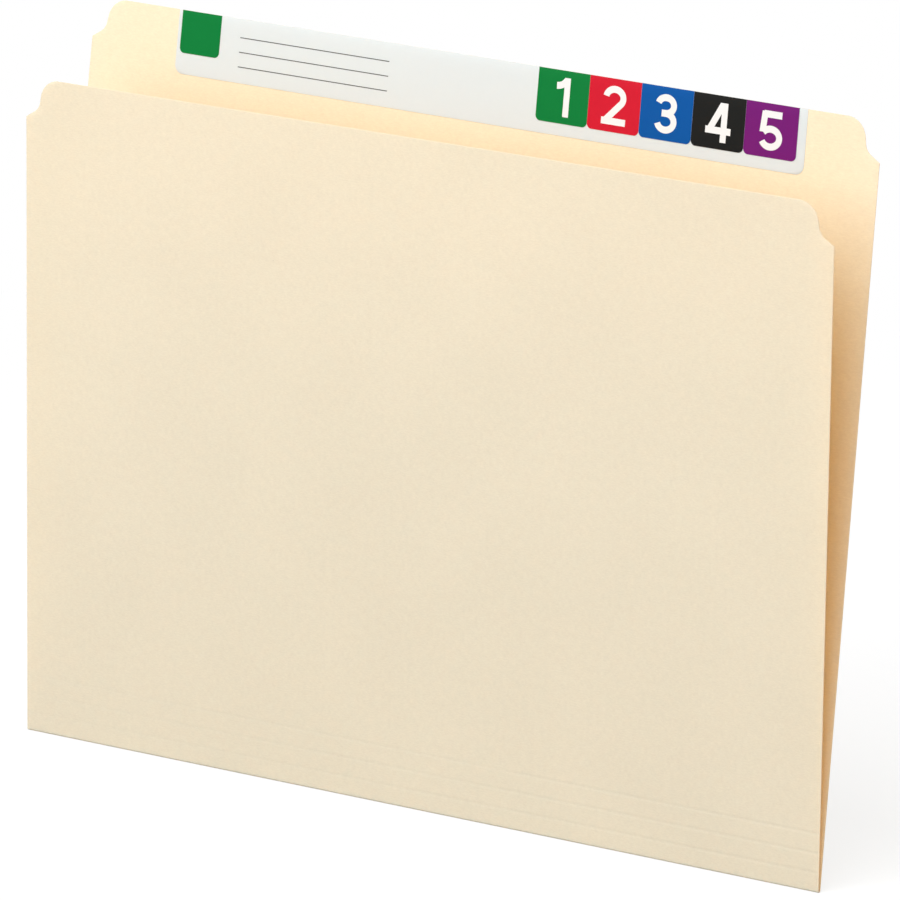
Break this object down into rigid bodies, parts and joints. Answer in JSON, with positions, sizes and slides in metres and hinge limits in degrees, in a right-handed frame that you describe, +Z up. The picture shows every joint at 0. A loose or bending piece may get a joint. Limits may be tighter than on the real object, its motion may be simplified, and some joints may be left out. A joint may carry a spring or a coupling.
{
  "type": "manila folder",
  "caption": "Letter-size manila file folder standing ajar, with a straight-cut tab, a white label with coloured number stickers and score lines above its bottom fold.",
  "frame": {"origin": "middle of the bottom fold's lowest line, on the surface that the folder stands on", "axes": "+X along the fold, to the right seen from the front; +Y towards the back leaf; +Z up"},
  "size_m": [0.2984, 0.0379, 0.2409],
  "materials": {
    "manila_card": "matt uncoated card with fine fibre mottling",
    "label_paper": "smooth white label paper",
    "green_sticker": "smooth printed sticker",
    "red_sticker": "smooth printed sticker",
    "blue_sticker": "smooth printed sticker",
    "black_sticker": "smooth printed sticker",
    "purple_sticker": "smooth printed sticker"
  },
  "bodies": {
    "fold": {"bottom_fold": "manila_card"},
    "back": {"back_leaf": "manila_card", "label_strip": "label_paper", "colour_tag": "green_sticker", "number_tag_1": "green_sticker", "number_tag_2": "red_sticker", "number_tag_3": "blue_sticker", "number_tag_4": "black_sticker", "number_tag_5": "purple_sticker"},
    "front": {"expansion_strip_1": "manila_card", "expansion_strip_2": "manila_card", "expansion_strip_3": "manila_card", "front_leaf": "manila_card"}
  },
  "joints": [
    {"name": "back_cover", "type": "hinge", "parent": "fold", "child": "back", "pos_m": [0, 0.00063, 0.0006], "axis": [-1, 0, 0], "range_deg": [-3.09, 84.26]},
    {"name": "front_cover", "type": "hinge", "parent": "fold", "child": "front", "pos_m": [0, -0.00063, 0.00059], "axis": [1, 0, 0], "range_deg": [-3.41, 86.59]}
  ]
}
